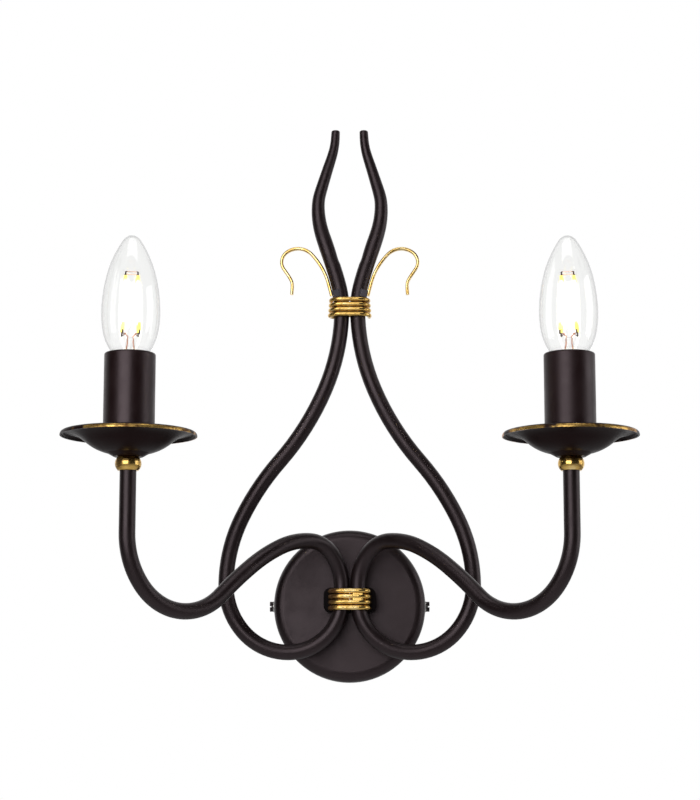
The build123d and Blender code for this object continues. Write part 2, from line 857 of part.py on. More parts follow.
# ---------------------------------------------------------------- candle
def make_ball():
    """Flattened ball collar; its step sits on the end of the arm tube."""
    half = ball_height / 2
    profile = make_face(
        [
            Edge.make_line((0, ball_z - half), (ball_flat_d / 2, ball_z - half)),
            Edge.make_three_point_arc(
                (ball_flat_d / 2, ball_z - half), (ball_d / 2, ball_z), (ball_flat_d / 2, ball_z + half)
            ),
            Edge.make_line((ball_flat_d / 2, ball_z + half), (0, ball_z + half)),
            Edge.make_line((0, ball_z + half), (0, ball_z - half)),
        ]
    )
    ball = turned(profile)
    ball -= disc(bar_r + ball_fit, ball_z - ball_height, arm_end_z)
    return ball - disc(nipple_d / 2 + nipple_fit / 2, ball_z - ball_height, ball_z + ball_height)


class Ogee:
    """Underside of the drip pan in the candle's radial plane: two arcs, bowl then brim."""

    def __init__(self):
        self.foot = (pan_foot_r, pan_foot_z + pan_foot_rise)
        self.bowl = (pan_bowl_r, pan_foot_z + pan_bowl_z)
        brim_r = pan_lip_r - pan_wall / 2 - pan_lip_round
        self.brim = (brim_r, pan_foot_z + pan_brim_z)
        bowl_chord = math.atan2(self.bowl[1] - self.foot[1], self.bowl[0] - self.foot[0])
        self.end = math.radians(pan_bowl_angle)
        self.start = 2 * bowl_chord - self.end
        length = math.hypot(self.bowl[0] - self.foot[0], self.bowl[1] - self.foot[1])
        self.radius = length / (2 * math.sin((self.end - self.start) / 2))
        self.centre = (
            self.foot[0] - self.radius * math.sin(self.start),
            self.foot[1] + self.radius * math.cos(self.start),
        )

    def inside_height(self, radius):
        """Height of the pan's upper surface at a radius on the bowl."""
        inner = self.radius - pan_wall
        return self.centre[1] - math.sqrt(inner ** 2 - (radius - self.centre[0]) ** 2)


ogee = Ogee()


def make_pan():
    """Drip pan: foot, bowl, flared brim and a turned-down lip."""
    half = pan_wall / 2
    slope = Vector(math.cos(ogee.start), math.sin(ogee.start))
    bend = Vector(math.cos(ogee.end), math.sin(ogee.end))
    lift = Vector(-math.sin(ogee.start), math.cos(ogee.start)) * half
    bowl_lift = Vector(-math.sin(ogee.end), math.cos(ogee.end)) * half
    foot = Vector(*ogee.foot) + lift
    bowl = Vector(*ogee.bowl) + bowl_lift
    brim = Vector(*ogee.brim) + Vector(0, half)
    lip = brim + Vector(pan_lip_round, -pan_lip_round)
    flat = Vector(pan_foot_flat_r, pan_foot_z + half)
    start = Vector(nipple_d / 2 + nipple_fit, pan_foot_z + half)
    flare = Edge.make_tangent_arc(bowl, bend, brim)
    turn_down = Edge.make_tangent_arc(brim, flare % 1, lip)
    line = Wire(
        [
            Edge.make_line(start, flat),
            Edge.make_line(flat, foot),
            Edge.make_tangent_arc(foot, slope, bowl),
            flare,
            turn_down,
            Edge.make_line(lip, lip + (turn_down % 1) * pan_lip_drop),
        ]
    )
    return turned(trace(line, pan_wall))


def make_nipple():
    """Hollow nipple: a spigot in the tube, a thread above it."""
    nipple = disc(nipple_d / 2, arm_end_z, nipple_top_z)
    nipple += disc(bore_r - nipple_fit, arm_end_z - nipple_spigot, arm_end_z)
    return nipple - disc(nipple_bore / 2, 0, 2 * nipple_top_z)


def make_lock_nut():
    """Hexagon nut that clamps pan and ball on the nipple."""
    hexagon = RegularPolygon(nut_flats / 2, 6, major_radius=False) - Circle(nipple_d / 2 + nipple_fit / 2)
    return Pos(candle.X, candle.Y, pan_floor_z) * extrude(hexagon, nut_height)


sleeve_bottom_z = ogee.inside_height(sleeve_d / 2) + sleeve_gap


def make_sleeve():
    """Candle sleeve with a rounded mouth."""
    sleeve = ring(sleeve_d / 2, sleeve_d / 2 - sleeve_wall, sleeve_bottom_z, sleeve_top_z)
    mouth = sleeve.edges().group_by(Axis.Z)[-1].sort_by(SortBy.RADIUS)[-1]
    return fillet(mouth, sleeve_round)


def tail_box(aside, low, high, width, thickness):
    """Upright strip beside the candle's axis, square to the arm's plane."""
    plane = Plane(
        origin=candle + UP * low + arm_side * aside, x_dir=arm_dir, z_dir=UP
    )
    return extrude(plane * Rectangle(width, thickness), high - low)


def make_lampholder():
    """Moulded body: nipple socket, wire chamber, web and shell bore."""
    body = disc(holder_d / 2, holder_bottom_z, holder_top_z)
    body = fillet(body.edges().group_by(Axis.Z)[-1], holder_round)
    body -= disc(nipple_d / 2 + nipple_fit / 2, holder_bottom_z, nipple_top_z)
    body -= disc(holder_chamber_d / 2, holder_bottom_z + holder_base_h, holder_web_z)
    body -= disc(shell_bore / 2 + shell_wall + shell_fit, shell_foot_z, holder_top_z)
    body -= tail_box(
        wire_half, holder_web_z, shell_foot_z, contact_width + 2 * tail_fit, contact_thickness + 2 * tail_fit
    )
    body -= tail_box(-shell_mid_r, holder_web_z, shell_foot_z, contact_width + 2 * tail_fit, tail_slot)
    return body


def make_screw_shell():
    """Brass shell that takes the bulb's cap, with its tail to the neutral wire."""
    outer = shell_bore / 2 + shell_wall
    shell = ring(outer, shell_bore / 2, contact_tail_z, holder_top_z - holder_round)
    waste = ring(outer + shell_wall, shell_bore / 2 - shell_wall, contact_tail_z, shell_foot_z)
    waste -= tail_box(-shell_mid_r, contact_tail_z, shell_foot_z, contact_width, 2 * contact_width)
    return shell - waste


def make_centre_contact():
    """Bent strip: a tail through the web and a tongue under the bulb's tip."""
    tail = tail_box(wire_half, contact_tail_z, contact_top_z, contact_width, contact_thickness)
    tongue_reach = 2 * wire_half + contact_thickness
    tongue = tail_box(
        0, contact_top_z - contact_thickness, contact_top_z, contact_width, tongue_reach
    )
    return tail + tongue


# ---------------------------------------------------------------- bulb
def envelope(inset):
    """Turned body of the envelope, its outline drawn in by an inset."""
    rows = [
        (bulb_neck_r, bulb_glass_foot_z, bulb_neck_heading),
        (bulb_flare_r, bulb_glass_foot_z + bulb_flare_rise, bulb_flare_heading),
        (bulb_r, bulb_tip_z - bulb_belly_drop, 90.0),
        (bulb_shoulder_r, bulb_tip_z - bulb_shoulder_drop, bulb_shoulder_heading),
        (0.0, bulb_tip_z, 180.0),
    ]
    stations = []
    for radius, z, heading in rows:
        turn = math.radians(heading)
        direction = Vector(math.cos(turn), math.sin(turn), 0)
        side = Vector(-direction.Y, direction.X, 0)
        stations.append((Vector(radius, z, 0) + side * inset, direction))
    foot = stations[0][0]
    tip = stations[-1][0]
    edges = route(stations)
    edges.append(Edge.make_line(tip, (0, foot.Y)))
    edges.append(Edge.make_line((0, foot.Y), foot))
    return turned(make_face(edges))


def make_glass():
    """Candle-shaped clear envelope, open at the neck."""
    mouth = disc(bulb_neck_r - bulb_wall, 0, bulb_glass_foot_z + bulb_wall)
    return envelope(0) - envelope(bulb_wall) - mouth


def make_cap():
    """Screw cap: a thin shell with a shoulder at its foot."""
    low = bulb_bottom_z + tip_height + insulator_height
    cap = ring(cap_d / 2, cap_d / 2 - cap_wall, low, cap_top_z)
    return cap


def make_insulator():
    """Cone between the cap and the contact tip."""
    low = bulb_bottom_z + tip_height
    profile = Polyline(
        (0, low),
        (insulator_foot_d / 2, low),
        (cap_d / 2 - cap_wall, low + insulator_height),
        (0, low + insulator_height),
        close=True,
    )
    return turned(make_face(profile))


def make_tip():
    """Soldered centre contact of the bulb."""
    tip = disc(tip_d / 2, bulb_bottom_z, bulb_bottom_z + tip_height)
    return fillet(tip.edges().group_by(Axis.Z)[0], tip_height / 2)


stem_foot_r = bulb_neck_r - bulb_wall - stem_fit


def make_stem():
    """Glass stem inside the bulb, flared at its foot."""
    profile = Polyline(
        (0, bulb_glass_foot_z),
        (stem_foot_r, bulb_glass_foot_z),
        (stem_foot_r, bulb_glass_foot_z + stem_flange_h),
        (stem_d / 2, bulb_glass_foot_z + stem_flare_h),
        (stem_top_d / 2, stem_top_z),
        (0, stem_top_z),
        close=True,
    )
    return turned(make_face(profile))


def straight(start, end, diameter):
    """Straight wire between two points."""
    direction = (end - start).normalized()
    return rod([(start, direction), (end, direction)], Circle(diameter / 2))


def filament_ray(place):
    """Direction from the bulb's axis to a filament, or between two of them."""
    return Vector(1, 0, 0).rotate(Axis.Z, filament_turn + 360 * place / filament_count)


def filament_line(index):
    """Foot, head and direction of a filament, which leans inwards."""
    lean = math.radians(filament_lean)
    ray = filament_ray(index)
    foot = candle + ray * filament_foot_r + UP * filament_foot_z
    direction = UP * math.cos(lean) - ray * math.sin(lean)
    return foot, foot + direction * filament_length, direction


def make_filaments():
    """Straight light-emitting rods."""
    group = []
    for index in range(filament_count):
        foot, head, _ = filament_line(index)
        group.append(straight(foot, head, filament_d))
    return Compound(children=group)


def make_lead(index):
    """Wire that leaves the stem and forks to the lower pins of two neighbouring filaments."""
    ray = filament_ray(index + 0.5)
    root = candle + ray * lead_root_r + UP * stem_top_z
    fork = candle + ray * lead_fork_r + UP * (filament_foot_z - pin_length + lead_fork_rise)
    lead = rod([(root, UP), (fork, UP)], Circle(lead_d / 2))
    for neighbour in (index, index + 1):
        foot, _, direction = filament_line(neighbour)
        pin_end = foot - direction * pin_length
        lead += straight(pin_end, foot, pin_d) + straight(fork, pin_end, lead_d)
    return lead


def make_crown(index):
    """Wire that joins the upper pins of two neighbouring filaments."""
    wire = None
    ends = []
    for neighbour in (index, index + 1):
        _, head, direction = filament_line(neighbour)
        ends.append(head + direction * pin_length)
        pin = straight(head, ends[-1], pin_d)
        wire = pin if wire is None else wire + pin
    return wire + straight(ends[0], ends[1], lead_d)


def make_supports():
    """Leads between the lower pins and crowns between the upper pins, so that pairs are in series."""
    group = []
    for index in range(0, filament_count, 2):
        group.append(make_lead(index + 1))
        group.append(make_crown(index))
    return Compound(children=group)


# ---------------------------------------------------------------- assembly
keep_pair("scroll", make_scroll())
keep_pair("arm", make_arm())
keep("upper_band", rod(upper_coil, Circle(coil_wire_d / 2)))
keep("lower_band", make_staples())
keep("boss", make_boss())
keep("boss_screws", make_boss_screws())
keep("backplate", make_backplate())
keep("wire_bush", make_wire_bush())
keep("wall_bracket", make_bracket())
keep("earth_screw", make_earth_screw())
keep_pair("side_screw", make_side_screw())
keep_pair("side_washer", make_side_washer())
keep("terminal_block", make_block())
keep("clamp_screws", make_clamp_screws())
keep("block_screw", make_block_screw())
keep("earth_wire", make_earth_wire())
keep_pair("live_wire", make_live_wire())
keep_pair("neutral_wire", make_neutral_wire())
keep_pair("tendril", make_tendril())
keep_pair("root_tab", make_root_tab())
keep_pair("ball", make_ball())
keep_pair("drip_pan", make_pan())
keep_pair("nipple", make_nipple())
keep_pair("lock_nut", make_lock_nut())
keep_pair("sleeve", make_sleeve())
keep_pair("lampholder", make_lampholder())
keep_pair("screw_shell", make_screw_shell())
keep_pair("centre_contact", make_centre_contact())
keep_pair("bulb_glass", make_glass())
keep_pair("bulb_cap", make_cap())
keep_pair("bulb_insulator", make_insulator())
keep_pair("bulb_tip", make_tip())
keep_pair("bulb_stem", make_stem())
keep_pair("bulb_filaments", make_filaments())
keep_pair("bulb_supports", make_supports())

print("upper band, least gap between turns: %.2f mm" % least_gap(upper_coil, coil_wire_d))

os.makedirs("parts", exist_ok=True)
for name, shape in pieces.items():
    export_step(shape, os.path.join("parts", name + ".step"))
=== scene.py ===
import math

import bmesh
import bpy
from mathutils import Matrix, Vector


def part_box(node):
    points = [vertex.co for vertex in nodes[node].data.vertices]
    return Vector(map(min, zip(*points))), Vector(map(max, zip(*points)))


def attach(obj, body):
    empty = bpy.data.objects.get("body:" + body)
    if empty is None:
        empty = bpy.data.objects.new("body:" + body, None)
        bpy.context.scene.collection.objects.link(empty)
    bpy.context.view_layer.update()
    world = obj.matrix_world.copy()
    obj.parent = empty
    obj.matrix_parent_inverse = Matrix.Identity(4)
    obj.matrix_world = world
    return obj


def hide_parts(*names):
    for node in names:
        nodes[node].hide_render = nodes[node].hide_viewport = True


# Finishes, bulb details, camera and light of a double arm wall sconce.
# Everything is in metres, in the frame of the solids: +X right, -Y out of the wall, +Z up.
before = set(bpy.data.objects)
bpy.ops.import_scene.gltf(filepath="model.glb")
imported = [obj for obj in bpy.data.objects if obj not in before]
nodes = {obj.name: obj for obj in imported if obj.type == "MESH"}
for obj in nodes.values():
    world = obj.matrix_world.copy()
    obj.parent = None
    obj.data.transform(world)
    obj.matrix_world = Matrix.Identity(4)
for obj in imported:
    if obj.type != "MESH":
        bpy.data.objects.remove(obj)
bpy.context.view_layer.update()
scene = bpy.context.scene
HANDS = {"left": -1, "right": 1}


# ------------------------------------------------------------------ node helpers
class Nodes:
    """Small builder for one node tree."""

    def __init__(self, tree):
        self.tree = tree

    def add(self, kind, **values):
        node = self.tree.nodes.new(kind)
        for name, value in values.items():
            setattr(node, name, value)
        return node

    def link(self, a, b):
        self.tree.links.new(a, b)

    def put(self, socket, value):
        if isinstance(value, bpy.types.NodeSocket):
            self.link(value, socket)
        else:
            socket.default_value = value

    def math(self, operation, a, b=0.0, c=0.0):
        node = self.add("ShaderNodeMath", operation=operation)
        for socket, value in zip(node.inputs, (a, b, c)):
            self.put(socket, value)
        return node.outputs[0]

    def vector(self, operation, a, b):
        node = self.add("ShaderNodeVectorMath", operation=operation)
        self.put(node.inputs[0], a)
        self.put(node.inputs[1], b)
        return node.outputs["Vector"]

    def length(self, vector):
        node = self.add("ShaderNodeVectorMath", operation="LENGTH")
        self.put(node.inputs[0], vector)
        return node.outputs["Value"]

    def scaled(self, vector, factor):
        node = self.add("ShaderNodeVectorMath", operation="SCALE")
        self.put(node.inputs[0], vector)
        self.put(node.inputs["Scale"], factor)
        return node.outputs["Vector"]

    def parts(self, vector):
        """X, Y and Z of a vector, by name."""
        node = self.add("ShaderNodeSeparateXYZ")
        self.link(vector, node.inputs[0])
        return node.outputs

    def stretched(self, vector, scale):
        node = self.add("ShaderNodeMapping")
        node.inputs["Scale"].default_value = scale
        self.put(node.inputs["Vector"], vector)
        return node.outputs["Vector"]

    def remap(self, value, low, high, to_low=0.0, to_high=1.0, smooth=True):
        """A value between low and high, carried over to between to_low and to_high."""
        node = self.add("ShaderNodeMapRange")
        node.interpolation_type = "SMOOTHSTEP" if smooth else "LINEAR"
        self.put(node.inputs["Value"], value)
        node.inputs["From Min"].default_value = low
        node.inputs["From Max"].default_value = high
        node.inputs["To Min"].default_value = to_low
        node.inputs["To Max"].default_value = to_high
        return node.outputs["Result"]

    def noise(self, vector, scale, detail=3.0, rough=0.5, distortion=0.0):
        """Noise with about scale waves to the metre."""
        node = self.add("ShaderNodeTexNoise")
        self.put(node.inputs["Vector"], vector)
        node.inputs["Scale"].default_value = scale
        node.inputs["Detail"].default_value = detail
        node.inputs["Roughness"].default_value = rough
        node.inputs["Distortion"].default_value = distortion
        return node.outputs["Fac"]

    def swing(self, noise, low, high, spread=0.2):
        """A noise's values within the spread of its middle, carried over to between low and high."""
        return self.remap(noise, 0.5 - spread, 0.5 + spread, low, high)

    def mix(self, factor, a, b, kind="RGBA"):
        node = self.add("ShaderNodeMix", data_type=kind)
        self.put(node.inputs["Factor"], factor)
        self.put(node.inputs["A"], a)
        self.put(node.inputs["B"], b)
        return node.outputs["Result"]

    def mix_shaders(self, factor, a, b):
        node = self.add("ShaderNodeMixShader")
        for socket, value in zip(node.inputs, (factor, a, b)):
            self.link(value, socket)
        return node.outputs[0]

    def bump(self, height, strength, distance):
        node = self.add("ShaderNodeBump")
        node.inputs["Strength"].default_value = strength
        node.inputs["Distance"].default_value = distance
        self.put(node.inputs["Height"], height)
        return node.outputs["Normal"]


def make_group(name, inputs, outputs, build):
    """Shader node group with the given sockets, filled by build."""
    tree = bpy.data.node_groups.new(name, "ShaderNodeTree")
    for label, kind, value in inputs:
        socket = tree.interface.new_socket(label, in_out="INPUT", socket_type=kind)
        if value is not None:
            socket.default_value = value
    for label, kind in outputs:
        tree.interface.new_socket(label, in_out="OUTPUT", socket_type=kind)
    n = Nodes(tree)
    source = n.add("NodeGroupInput")
    sink = n.add("NodeGroupOutput")
    build(n, source.outputs, sink.inputs)
    return tree


COLOR = "NodeSocketColor"
FLOAT = "NodeSocketFloat"
VECTOR = "NodeSocketVector"

# ------------------------------------------------------------------ powder coat
PAINT_CLOUD = 55.0           # waves to the metre, as for every pattern here
PAINT_SPECK = 2600.0
PAINT_GRAIN = 1500.0
PAINT_PEEL = 260.0
PAINT_PEEL_HEIGHT = 1.4      # against the grain's
PAINT_BUMP = 0.2
PAINT_BUMP_DEPTH = 0.00008


def paint_build(n, given, out):
    """Powder coat: fine speckle, faint clouding and a grainy peel."""
    place = given["Place"]
    cloud = n.noise(place, PAINT_CLOUD, 4.0, 0.6)
    speck = n.noise(place, PAINT_SPECK, 2.0)
    grain = n.noise(place, PAINT_GRAIN, 3.0, 0.6)
    peel = n.noise(place, PAINT_PEEL, 2.0)
    tone = n.math("ADD", n.swing(cloud, -0.5, 0.5), n.swing(speck, -0.35, 0.35, 0.15))
    tone = n.math("MULTIPLY_ADD", tone, given["Speckle"], 1.0)
    n.link(n.scaled(given["Color"], tone), out["Color"])
    rough = n.math("ADD", given["Roughness"], n.swing(cloud, -0.05, 0.06))
    n.link(n.math("ADD", rough, n.swing(speck, -0.04, 0.04, 0.15)), out["Roughness"])
    height = n.math("MULTIPLY_ADD", peel, PAINT_PEEL_HEIGHT, grain)
    n.link(n.bump(height, PAINT_BUMP, PAINT_BUMP_DEPTH), out["Normal"])


paint_group = make_group(
    "powder_coat",
    [
        ("Place", VECTOR, None),
        ("Color", COLOR, (0.03, 0.022, 0.023, 1)),
        ("Roughness", FLOAT, 0.4),
        ("Speckle", FLOAT, 0.12),
    ],
    [("Color", COLOR), ("Roughness", FLOAT), ("Normal", VECTOR)],
    paint_build,
)

# ------------------------------------------------------------------ antique gold
GOLD_PATCH = 120.0
GOLD_STREAK = 420.0
GOLD_STREAK_STRETCH = (1.0, 1.0, 5.0)    # the streaks lie level
GOLD_STREAK_WEAR = 0.5       # against the patches'
GOLD_FINE = 1900.0
WORN_LIGHT = (0.3, 0.5)      # light gold below the first of these, full gold above the second
WORN_BROWN = (0.54, 0.82)    # gold below the first of these, brown above the second
GOLD_DARK = (0.13, 0.06, 0.018, 1)
GOLD_DARK_METAL = 0.75
GOLD_ROUGH = 0.18
GOLD_DARK_ROUGH = 0.4
GOLD_PATCH_HEIGHT = 1.2
GOLD_STREAK_HEIGHT = 0.5
GOLD_BUMP = 0.07
GOLD_BUMP_DEPTH = 0.0003


def gold_build(n, given, out):
    """Antique gold: bright burnished metal with brown left in patches and fine hand marks."""
    place = given["Place"]
    patch = n.noise(place, GOLD_PATCH, 4.0, 0.6, 0.5)
    streak = n.noise(n.stretched(place, GOLD_STREAK_STRETCH), GOLD_STREAK, 3.0, 0.6)
    fine = n.noise(place, GOLD_FINE, 2.0, 0.6)
    worn = n.math("MULTIPLY_ADD", n.math("SUBTRACT", streak, 0.5), GOLD_STREAK_WEAR, patch)
    worn = n.math("ADD", worn, given["Brown"])
    brown = n.remap(worn, *WORN_BROWN)
    gold = n.mix(n.remap(worn, *WORN_LIGHT, 1.0, 0.0), given["Gold"], given["Light"])
    n.link(n.mix(brown, gold, GOLD_DARK), out["Color"])
    n.link(n.remap(brown, 0.0, 1.0, 1.0, GOLD_DARK_METAL, smooth=False), out["Metallic"])
    rough = n.remap(brown, 0.0, 1.0, GOLD_ROUGH, GOLD_DARK_ROUGH, smooth=False)
    n.link(n.math("ADD", rough, n.swing(fine, -0.03, 0.03)), out["Roughness"])
    streaks = n.math("MULTIPLY", streak, GOLD_STREAK_HEIGHT)
    height = n.math("MULTIPLY_ADD", patch, GOLD_PATCH_HEIGHT, streaks)
    n.link(n.bump(height, GOLD_BUMP, GOLD_BUMP_DEPTH), out["Normal"])


gold_group = make_group(
    "antique_gold",
    [
        ("Place", VECTOR, None),
        ("Gold", COLOR, (0.74, 0.47, 0.13, 1)),
        ("Light", COLOR, (0.92, 0.7, 0.32, 1)),
        ("Brown", FLOAT, 0.0),
    ],
    [("Color", COLOR), ("Metallic", FLOAT), ("Roughness", FLOAT), ("Normal", VECTOR)],
    gold_build,
)


# ------------------------------------------------------------------ kinds of finish
def new_material(name):
    """Material with a Principled shader and object coordinates."""
    material = bpy.data.materials.new(name)
    material.use_nodes = True
    tree = material.node_tree
    tree.nodes.clear()
    n = Nodes(tree)
    shader = n.add("ShaderNodeBsdfPrincipled")
    out = n.add("ShaderNodeOutputMaterial")
    n.link(shader.outputs[0], out.inputs["Surface"])
    place = n.add("ShaderNodeTexCoord").outputs["Object"]
    return material, n, shader, place


def use_group(n, tree, **values):
    """Group node with its inputs set."""
    node = n.add("ShaderNodeGroup", node_tree=tree)
    for name, value in values.items():
        n.put(node.inputs[name], value)
    return node


def along(start, ways):
    """Two places on an axis, each its own way along from a start."""
    return tuple(start + way for way in ways)


def from_candle(n, place, side):
    """Level vector from a candle's axis to a place."""
    low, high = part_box("drip_pan_%s" % side)
    axis = (low + high) / 2
    offset = n.vector("SUBTRACT", place, (axis.x, axis.y, 0.0))
    return n.vector("MULTIPLY", offset, (1.0, 1.0, 0.0))


PAINT_TINT = (1.0, 0.81, 0.87, 1)        # of the paint's gloss


def painted(name, color, roughness, speckle=0.12, specular=0.5):
    """Powder-coated or moulded surface."""
    material, n, shader, place = new_material(name)
    paint = use_group(n, paint_group, Place=place, Color=color, Roughness=roughness, Speckle=speckle)
    n.link(paint.outputs["Color"], shader.inputs["Base Color"])
    n.link(paint.outputs["Roughness"], shader.inputs["Roughness"])
    n.link(paint.outputs["Normal"], shader.inputs["Normal"])
    shader.inputs["Specular Tint"].default_value = PAINT_TINT
    shader.inputs["Specular IOR Level"].default_value = specular
    return material


def gilt(name, brown):
    """Antique gold; brown is a number or a function of the node builder and the place."""
    material, n, shader, place = new_material(name)
    amount = brown(n, place) if callable(brown) else brown
    gold = use_group(n, gold_group, Place=place, Brown=amount)
    n.link(gold.outputs["Color"], shader.inputs["Base Color"])
    for socket in ("Metallic", "Roughness", "Normal"):
        n.link(gold.outputs[socket], shader.inputs[socket])
    return material


METAL_MARKS = 700.0
METAL_MARKS_STRETCH = (1.0, 1.0, 9.0)    # the marks lie level, as from turning
METAL_MARKS_ROUGH = 0.08
METAL_CLOUD = 90.0
METAL_DULL = 0.72            # share of the colour left where the plating is dull
METAL_BUMP = 0.2
METAL_BUMP_DEPTH = 0.0001


def bare_metal(name, color, roughness):
    """Plated or turned metal with fine marks."""
    material, n, shader, place = new_material(name)
    fine = n.noise(n.stretched(place, METAL_MARKS_STRETCH), METAL_MARKS, 3.0, 0.6)
    cloud = n.noise(place, METAL_CLOUD)
    rough = n.swing(fine, roughness - METAL_MARKS_ROUGH, roughness + METAL_MARKS_ROUGH)
    n.link(rough, shader.inputs["Roughness"])
    dull = tuple(channel * METAL_DULL for channel in color[:3]) + (1,)
    n.link(n.mix(n.remap(cloud, 0.35, 0.7), color, dull), shader.inputs["Base Color"])
    n.link(n.bump(fine, METAL_BUMP, METAL_BUMP_DEPTH), shader.inputs["Normal"])
    shader.inputs["Metallic"].default_value = 1.0
    return material


# ------------------------------------------------------------------ paint, plastic and bare metal
brown_paint = painted("brown_paint", (0.0045, 0.0018, 0.0017, 1), 0.4)
sleeve_paint = painted("sleeve_paint", (0.0068, 0.0012, 0.001, 1), 0.4)
# near-black and dull: painted shade on the boss, which sits in shade behind the lower band
boss_shade_black = painted("boss_shade_black", (0.001, 0.0008, 0.0008, 1), 0.6, specular=0.08)
tab_steel = painted("tab_steel", (0.045, 0.043, 0.052, 1), 0.5)
black_screw = painted("black_screw", (0.008, 0.008, 0.008, 1), 0.4)
white_plastic = painted("white_plastic", (0.7, 0.7, 0.66, 1), 0.45, speckle=0.04)
holder_plastic = painted("holder_plastic", (0.02, 0.02, 0.02, 1), 0.5, speckle=0.05)
brown_wire = painted("brown_wire", (0.09, 0.03, 0.012, 1), 0.5, speckle=0.05)
blue_wire = painted("blue_wire", (0.02, 0.09, 0.33, 1), 0.5, speckle=0.05)
green_wire = painted("green_wire", (0.16, 0.32, 0.04, 1), 0.5, speckle=0.05)
zinc = bare_metal("zinc", (0.62, 0.62, 0.6, 1), 0.34)
brass = bare_metal("brass", (0.72, 0.5, 0.2, 1), 0.3)
nickel = bare_metal("nickel", (0.72, 0.7, 0.64, 1), 0.24)

# ------------------------------------------------------------------ gilt bands, curls and balls
BAND_LEFT = (0.0022, 0.0097)             # from the lower band's left end, where its painted shade fades
BAND_LEFT_SHADE = (0.34, -0.06)
BAND_RIGHT = (-0.0077, -0.0017)          # from its right end, where the painted shade grows again
BAND_RIGHT_SHADE = (0.0, 0.06)


def band_end_shade(n, place):
    """Painted shade, in the brown of the patina, on both ends of the lower band where its wires turn
    back, most of it on the left.
    """
    low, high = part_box("lower_band")
    x = n.parts(place)["X"]
    left = n.remap(x, *along(low.x, BAND_LEFT), *BAND_LEFT_SHADE)
    right = n.remap(x, *along(high.x, BAND_RIGHT), *BAND_RIGHT_SHADE)
    return n.math("ADD", left, right)


# the lower band's ends carry painted shade
gold_band = gilt("gold_band", band_end_shade)
gold_coil = gilt("gold_coil", 0.08)
gold_curl = gilt("gold_curl", -0.1)
gold_ball = gilt("gold_ball", 0.04)

# ------------------------------------------------------------------ drip pans
PAN_BROWN = (0.0085, 0.0028, 0.0024, 1)
PAN_ROUGH = 0.38
PAN_SPECULAR = 0.1
LIP = (-0.0008, -0.0003)     # from the rim, where the gold begins
LIP_GOLD = (0.0, 0.85)       # brushed on thinly
LIP_GOLD_BROWN = 0.15
LIP_WAVE = 75.0
LIP_PATCHES = (0.36, 0.5)    # bare below the first of these, gilt above the second
LIP_LEFT = (0.0023, 0.0443)  # from the rim's left end, where the gold grows fuller
LIP_LEFT_FULL = 0.06
LIP_RIGHT = (-0.0063, -0.0003)           # from its right end, where the gold grows thin
LIP_RIGHT_THIN = -0.2


def pan_material(side, bare_left):
    """Brown pan with gold brushed over the outside of its lip, less of it to the left by bare_left."""
    material, n, shader, place = new_material("pan_%s" % side)
    low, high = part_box("drip_pan_%s" % side)
    rim = (high.x - low.x) / 2
    offset = from_candle(n, place, side)
    across = n.parts(offset)["X"]
    left = n.remap(across, *along(-rim, LIP_LEFT), -bare_left, LIP_LEFT_FULL)
    right = n.remap(across, *along(rim, LIP_RIGHT), 0.0, LIP_RIGHT_THIN)
    brushed = n.math("ADD", n.noise(place, LIP_WAVE, 3.0, 0.6), n.math("ADD", left, right))
    lip = n.remap(n.length(offset), *along(rim, LIP), *LIP_GOLD)
    gilded = n.math("MULTIPLY", lip, n.remap(brushed, *LIP_PATCHES))
    paint = use_group(n, paint_group, Place=place, Color=PAN_BROWN, Roughness=PAN_ROUGH).outputs
    gold = use_group(n, gold_group, Place=place, Brown=LIP_GOLD_BROWN).outputs
    n.link(n.mix(gilded, paint["Color"], gold["Color"]), shader.inputs["Base Color"])
    n.link(n.math("MULTIPLY", gilded, gold["Metallic"]), shader.inputs["Metallic"])
    n.link(n.mix(gilded, paint["Roughness"], gold["Roughness"], "FLOAT"), shader.inputs["Roughness"])
    n.link(paint["Normal"], shader.inputs["Normal"])
    shader.inputs["Specular Tint"].default_value = PAINT_TINT
    shader.inputs["Specular IOR Level"].default_value = PAN_SPECULAR
    return material


# ------------------------------------------------------------------ glass
GLASS_CLEAR = (0.973, 0.975, 0.97, 1)
GLASS_SHADE_COLOR = (0.86, 0.86, 0.86, 1)    # painted shade: grey where the eye looks along the wall of the bulb
GLASS_FACING = (0.4, 0.8)
GLASS_WAVE = 60.0
GLASS_WAVE_STRETCH = (1.0, 1.0, 0.25)
GLASS_BUMP = 0.015
GLASS_BUMP_DEPTH = 0.002
GLASS_IOR = 1.45


def glass_material():
    """Thin clear glass, hardly wavy, greyed as painted shade where the eye looks along its wall."""
    material, n, shader, place = new_material("clear_glass")
    wave = n.noise(n.stretched(place, GLASS_WAVE_STRETCH), GLASS_WAVE, 2.0)
    n.link(n.bump(wave, GLASS_BUMP, GLASS_BUMP_DEPTH), shader.inputs["Normal"])
    edge = n.add("ShaderNodeLayerWeight")
    edge.inputs["Blend"].default_value = 0.5
    edge_shade = n.remap(edge.outputs["Facing"], *GLASS_FACING)
    n.link(n.mix(edge_shade, GLASS_CLEAR, GLASS_SHADE_COLOR), shader.inputs["Base Color"])
    shader.inputs["Roughness"].default_value = 0.0
    shader.inputs["IOR"].default_value = GLASS_IOR
    shader.inputs["Transmission Weight"].default_value = 1.0
    return material


# ------------------------------------------------------------------ filaments and leads
ROD_FOOT = (0.00285, 0.00785)            # from the filaments' foot, where the yellow fades out
ROD_TOP = (-0.0059, -0.0014)             # from their top, where it comes back
ROD_WHITE = (1.0, 0.97, 0.85, 1)
ROD_YELLOW = (0.96, 0.84, 0.2, 1)
ROD_COAT = (0.9, 0.75, 0.1, 1)           # of the rods themselves, under the glow
ROD_GLOW = (6.0, 0.85)                   # in the middle and at the ends
ROD_SPECK = 900.0


